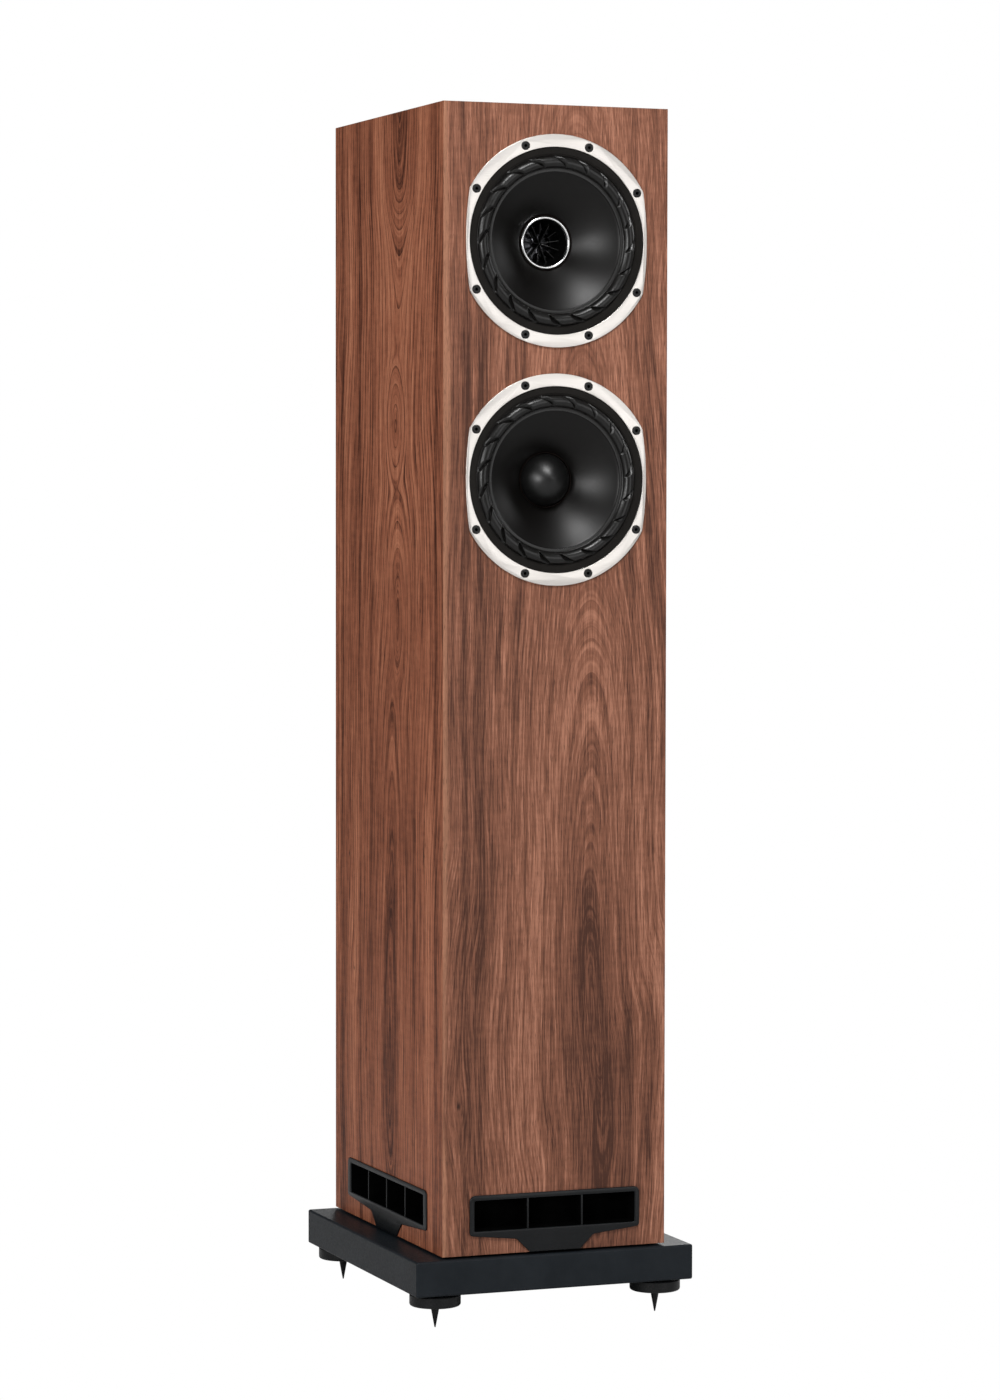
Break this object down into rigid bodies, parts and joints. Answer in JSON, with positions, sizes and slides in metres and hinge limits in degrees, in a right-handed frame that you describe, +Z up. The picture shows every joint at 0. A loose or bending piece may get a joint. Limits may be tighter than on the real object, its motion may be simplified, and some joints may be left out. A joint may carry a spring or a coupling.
{
  "type": "floorstanding speaker",
  "caption": "Slim floorstanding loudspeaker with a coaxial driver over a bass driver, a vented base and a plinth on adjustable spiked feet.",
  "frame": {"origin": "on the floor, level with the spike tips, under the middle of the plinth", "axes": "+Z up, the drivers face -Y, +X to the right of someone facing the speaker"},
  "size_m": [0.249, 0.282, 1.0155],
  "materials": {
    "walnut_veneer": "satin oiled",
    "bare_board": "raw",
    "satin_black_board": "satin lacquer",
    "black_moulding": "satin",
    "foam_seal": "matt",
    "black_metal": "satin",
    "black_screw": "satin",
    "satin_aluminium": "brushed satin",
    "cast_frame": "matt powder coat",
    "gasket": "matt",
    "surround_rubber": "satin",
    "cone_paper": "satin",
    "coil": "bright",
    "spider_cloth": "matt",
    "ferrite": "matt",
    "steel": "satin",
    "polished_ring": "polished",
    "dome_metal": "satin",
    "plug": "satin",
    "gold_plate": "bright",
    "knob_black": "gloss",
    "knob_red": "gloss",
    "circuit_board": "satin",
    "crossover_components": "satin",
    "cable_jacket": "satin",
    "wadding": "soft"
  },
  "bodies": {
    "cabinet": {"back_panel": "walnut_veneer", "binding_posts": "gold_plate", "bottom_panel": "walnut_veneer", "crossover_board": "circuit_board", "crossover_parts": "crossover_components", "driver_screws": "black_screw", "front_baffle": "walnut_veneer", "internal_cables": "cable_jacket", "lower_basket": "cast_frame", "lower_gasket_ring": "gasket", "lower_magnet": "ferrite", "lower_pole_and_plates": "steel", "lower_spider": "spider_cloth", "lower_surround": "surround_rubber", "lower_trim_ring": "satin_aluminium", "phase_plug": "plug", "plinth": "satin_black_board", "plinth_bolts": "black_screw", "plinth_spacer": "foam_seal", "port_tube": "black_moulding", "side_panel_left": "walnut_veneer", "side_panel_right": "walnut_veneer", "terminal_cup": "black_moulding", "terminal_cup_screws": "black_screw", "top_panel": "walnut_veneer", "tweeter_motor": "steel", "tweeter_ring": "polished_ring", "tweeter_suspension": "gasket", "tweeter_waveguide": "black_moulding", "upper_basket": "cast_frame", "upper_gasket_ring": "gasket", "upper_magnet": "ferrite", "upper_pole_and_plates": "steel", "upper_spider": "spider_cloth", "upper_surround": "surround_rubber", "upper_trim_ring": "satin_aluminium", "vent_chamber_shelf": "bare_board", "vent_trim_back": "black_moulding", "vent_trim_front": "black_moulding", "vent_trim_left": "black_moulding", "vent_trim_right": "black_moulding", "wadding": "wadding", "window_brace": "bare_board"},
    "upper_diaphragm": {"upper_cone": "cone_paper", "upper_voice_coil": "coil"},
    "lower_diaphragm": {"lower_cone": "cone_paper", "lower_voice_coil": "coil"},
    "tweeter_diaphragm": {"tweeter_dome": "dome_metal"},
    "disc_front_left": {"foot_disc_front_left": "black_metal"},
    "spike_front_left": {"foot_spike_front_left": "black_metal"},
    "disc_front_right": {"foot_disc_front_right": "black_metal"},
    "spike_front_right": {"foot_spike_front_right": "black_metal"},
    "disc_back_left": {"foot_disc_back_left": "black_metal"},
    "spike_back_left": {"foot_spike_back_left": "black_metal"},
    "disc_back_right": {"foot_disc_back_right": "black_metal"},
    "spike_back_right": {"foot_spike_back_right": "black_metal"},
    "washer_red": {"clamp_washer_red": "gold_plate"},
    "knob_red": {"terminal_knob_red": "knob_red"},
    "washer_black": {"clamp_washer_black": "gold_plate"},
    "knob_black": {"terminal_knob_black": "knob_black"}
  },
  "joints": [
    {"name": "upper_cone_travel", "type": "slide", "parent": "cabinet", "child": "upper_diaphragm", "axis": [0, -1, 0], "range_m": [-0.005, 0.005], "stiffness_N_per_m": 1000, "deforming": ["upper_surround", "upper_spider"]},
    {"name": "lower_cone_travel", "type": "slide", "parent": "cabinet", "child": "lower_diaphragm", "axis": [0, -1, 0], "range_m": [-0.005, 0.005], "stiffness_N_per_m": 1000, "deforming": ["lower_surround", "lower_spider"]},
    {"name": "tweeter_travel", "type": "slide", "parent": "cabinet", "child": "tweeter_diaphragm", "axis": [0, -1, 0], "range_m": [-0.0003, 0.0003], "stiffness_N_per_m": 800, "deforming": ["tweeter_suspension"]},
    {"name": "disc_turn_front_left", "type": "hinge", "parent": "cabinet", "child": "disc_front_left", "pos_m": [-0.0996, -0.1173, 0.024], "axis": [0, 0, 1], "range_deg": [0, 2304]},
    {"name": "spike_travel_front_left", "type": "slide", "parent": "cabinet", "child": "spike_front_left", "axis": [0, 0, 1], "range_m": [-0.00801, 0]},
    {"name": "disc_turn_front_right", "type": "hinge", "parent": "cabinet", "child": "disc_front_right", "pos_m": [0.0996, -0.1173, 0.024], "axis": [0, 0, 1], "range_deg": [0, 2304]},
    {"name": "spike_travel_front_right", "type": "slide", "parent": "cabinet", "child": "spike_front_right", "axis": [0, 0, 1], "range_m": [-0.00801, 0]},
    {"name": "disc_turn_back_left", "type": "hinge", "parent": "cabinet", "child": "disc_back_left", "pos_m": [-0.0996, 0.1173, 0.024], "axis": [0, 0, 1], "range_deg": [0, 2304]},
    {"name": "spike_travel_back_left", "type": "slide", "parent": "cabinet", "child": "spike_back_left", "axis": [0, 0, 1], "range_m": [-0.00801, 0]},
    {"name": "disc_turn_back_right", "type": "hinge", "parent": "cabinet", "child": "disc_back_right", "pos_m": [0.0996, 0.1173, 0.024], "axis": [0, 0, 1], "range_deg": [0, 2304]},
    {"name": "spike_travel_back_right", "type": "slide", "parent": "cabinet", "child": "spike_back_right", "axis": [0, 0, 1], "range_m": [-0.00801, 0]},
    {"name": "washer_travel_red", "type": "slide", "parent": "cabinet", "child": "washer_red", "axis": [0, 1, 0], "range_m": [0, 0.004]},
    {"name": "knob_turn_red", "type": "hinge", "parent": "washer_red", "child": "knob_red", "pos_m": [0.018, 0.13, 0.2615], "axis": [0, 1, 0], "range_deg": [0, 1444]},
    {"name": "washer_travel_black", "type": "slide", "parent": "cabinet", "child": "washer_black", "axis": [0, 1, 0], "range_m": [0, 0.004]},
    {"name": "knob_turn_black", "type": "hinge", "parent": "washer_black", "child": "knob_black", "pos_m": [-0.018, 0.13, 0.2615], "axis": [0, 1, 0], "range_deg": [0, 1444]}
  ],
  "couplings": [
    {"joint": "spike_travel_front_left", "follows": "disc_turn_front_left", "m_per_rad": -0.00019894},
    {"joint": "spike_travel_front_right", "follows": "disc_turn_front_right", "m_per_rad": -0.00019894},
    {"joint": "spike_travel_back_left", "follows": "disc_turn_back_left", "m_per_rad": -0.00019894},
    {"joint": "spike_travel_back_right", "follows": "disc_turn_back_right", "m_per_rad": -0.00019894},
    {"joint": "knob_turn_red", "follows": "washer_travel_red", "rad_per_m": 6283.2},
    {"joint": "knob_turn_black", "follows": "washer_travel_black", "rad_per_m": 6283.2}
  ]
}
